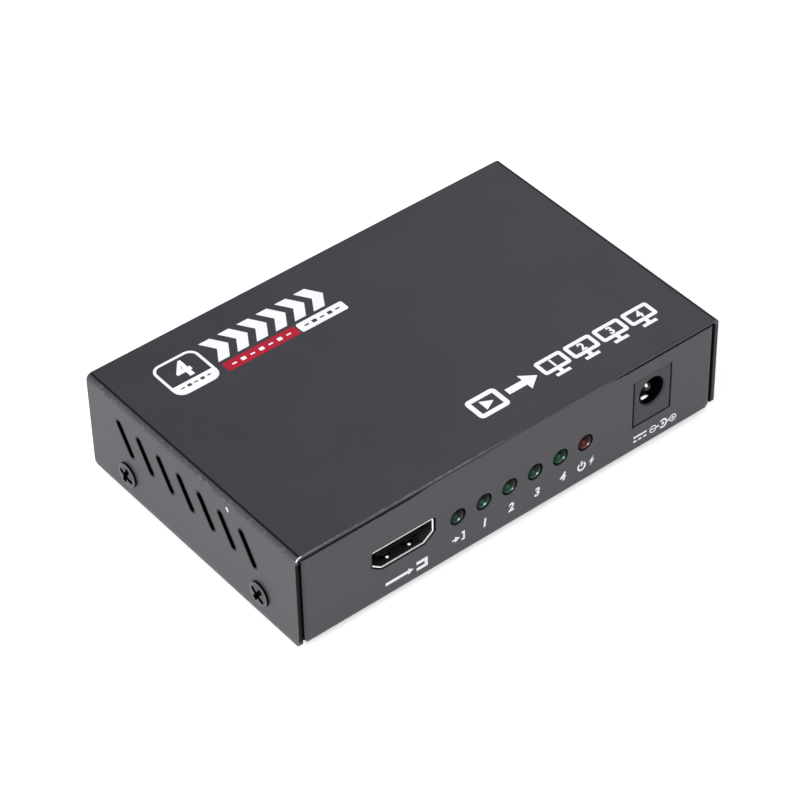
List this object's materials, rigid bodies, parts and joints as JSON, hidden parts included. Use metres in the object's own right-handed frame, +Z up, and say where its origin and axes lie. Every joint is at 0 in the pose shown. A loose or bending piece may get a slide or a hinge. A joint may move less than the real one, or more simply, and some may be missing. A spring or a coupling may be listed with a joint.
{
  "type": "video signal splitter",
  "caption": "Video signal splitter in a folded black sheet steel case with a video input socket, round status lamps and a power jack in front, and video output sockets at the back.",
  "frame": {"origin": "centre of the overall box, on the surface that the feet stand on", "axes": "+X along the panels, to the right when the front panel is faced; the front panel, with the input socket, lamps and power jack, faces -Y; +Z up"},
  "size_m": [0.1074, 0.066, 0.0247],
  "materials": {
    "powder_coat": "satin fine-textured black powder coat",
    "black_screw": "black zinc, satin",
    "zinc_screw": "zinc plated",
    "standoff_brass": "turned, satin",
    "foot_rubber": "matte",
    "board": "solder mask",
    "socket_steel": "bright nickel plated",
    "black_moulding": "fine matte",
    "gold_contact": "gold flash",
    "nickel_contact": "nickel plated",
    "green_lens": "tinted, glossy",
    "red_lens": "tinted, glossy",
    "tinned_wire": "tinned",
    "chip_epoxy": "matte epoxy",
    "sink_aluminium": "anodised",
    "thermal_pad": "soft pad",
    "can_aluminium": "bright",
    "ferrite": "matte",
    "ceramic": "matte ceramic"
  },
  "bodies": {
    "root": {"top_cover": "powder_coat", "base_tray": "powder_coat", "cover_screws": "black_screw", "rubber_feet": "foot_rubber", "board_standoffs": "standoff_brass", "board_screws": "zinc_screw", "circuit_board": "board", "power_jack_body": "black_moulding", "power_jack_pin": "nickel_contact", "power_jack_spring": "nickel_contact", "input_lamp": "green_lens", "power_lamp": "red_lens", "lamp_leads": "tinned_wire", "splitter_chip": "chip_epoxy", "chip_leads": "tinned_wire", "thermal_pad": "thermal_pad", "heat_sink": "sink_aluminium", "capacitor_cans": "can_aluminium", "capacitor_bases": "black_moulding", "timing_crystal": "tinned_wire", "filter_inductor": "ferrite", "voltage_regulators": "chip_epoxy", "memory_chip": "chip_epoxy", "input_fuse": "ceramic", "ceramic_chips": "ceramic", "output_lamp_1": "green_lens", "output_lamp_2": "green_lens", "output_lamp_3": "green_lens", "output_lamp_4": "green_lens", "input_socket_shell": "socket_steel", "input_socket_insulator": "black_moulding", "input_socket_contacts": "gold_contact", "output_socket_1_shell": "socket_steel", "output_socket_1_insulator": "black_moulding", "output_socket_1_contacts": "gold_contact", "output_socket_2_shell": "socket_steel", "output_socket_2_insulator": "black_moulding", "output_socket_2_contacts": "gold_contact", "output_socket_3_shell": "socket_steel", "output_socket_3_insulator": "black_moulding", "output_socket_3_contacts": "gold_contact", "output_socket_4_shell": "socket_steel", "output_socket_4_insulator": "black_moulding", "output_socket_4_contacts": "gold_contact"}
  },
  "joints": []
}
